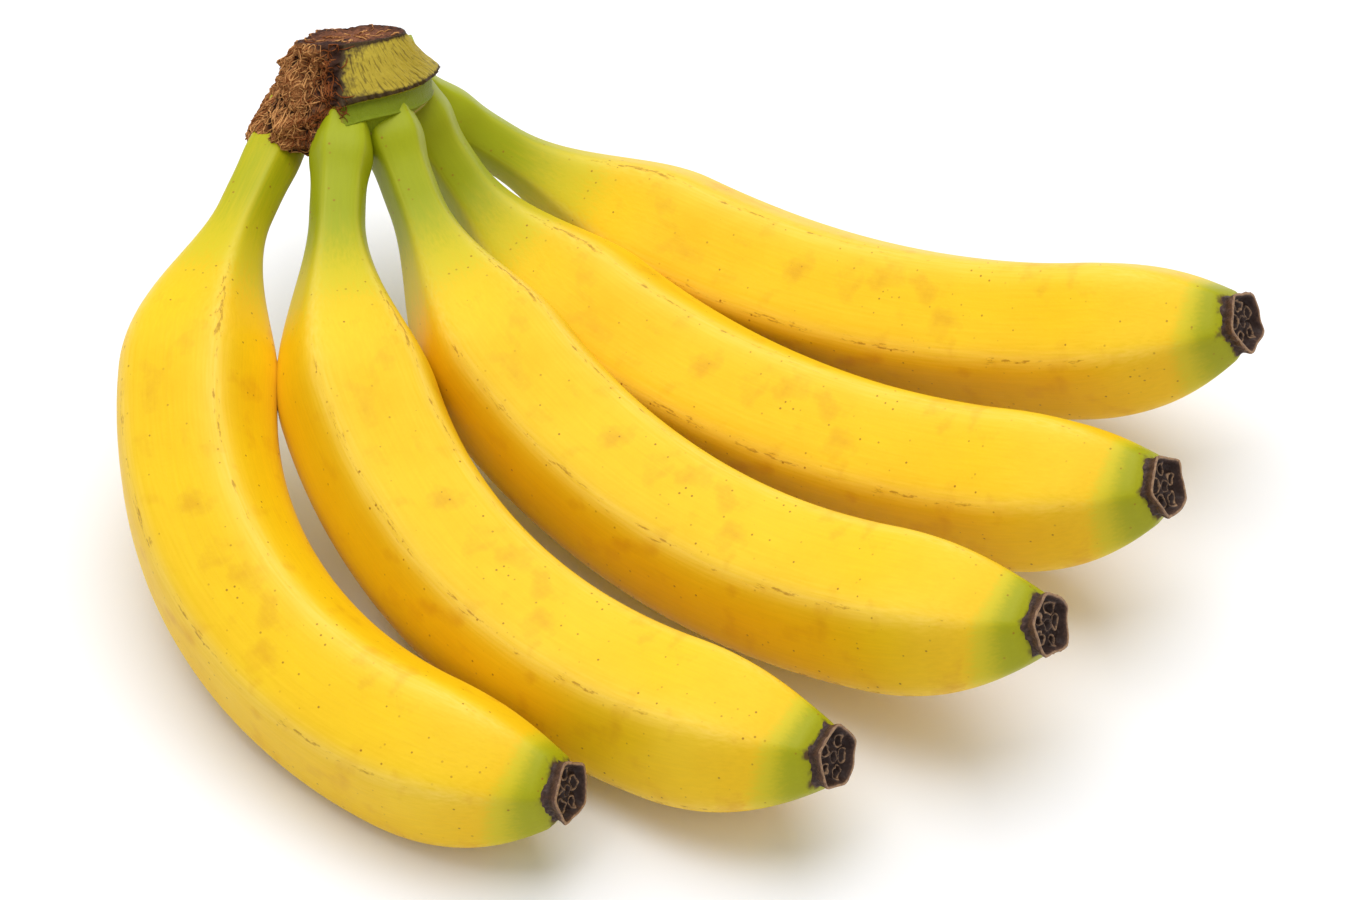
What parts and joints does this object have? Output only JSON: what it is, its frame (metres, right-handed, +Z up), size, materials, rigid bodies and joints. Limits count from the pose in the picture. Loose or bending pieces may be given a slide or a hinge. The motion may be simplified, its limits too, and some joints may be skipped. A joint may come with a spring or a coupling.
{
  "type": "bunch of bananas",
  "caption": "Ripe bananas with green necks and tips, fanned in one row from a cut brown crown, lying convex side down.",
  "frame": {"origin": "centre of the bunch's box, on the surface that it rests on", "axes": "+Z up, +X from the crown towards the flower ends, -Y towards the front finger, banana_1"},
  "size_m": [0.2561, 0.2063, 0.0799],
  "materials": {
    "banana_skin": "satin waxy skin, yellow with green neck and tip",
    "crown_wood": "dry, fibrous, matt",
    "dried_flower": "dry, rough, matt"
  },
  "bodies": {
    "root": {"crown": "crown_wood", "banana_1": "banana_skin", "banana_2": "banana_skin", "banana_3": "banana_skin", "banana_4": "banana_skin", "banana_5": "banana_skin", "banana_1_flower_end": "dried_flower", "banana_2_flower_end": "dried_flower", "banana_3_flower_end": "dried_flower", "banana_4_flower_end": "dried_flower", "banana_5_flower_end": "dried_flower"}
  },
  "joints": []
}
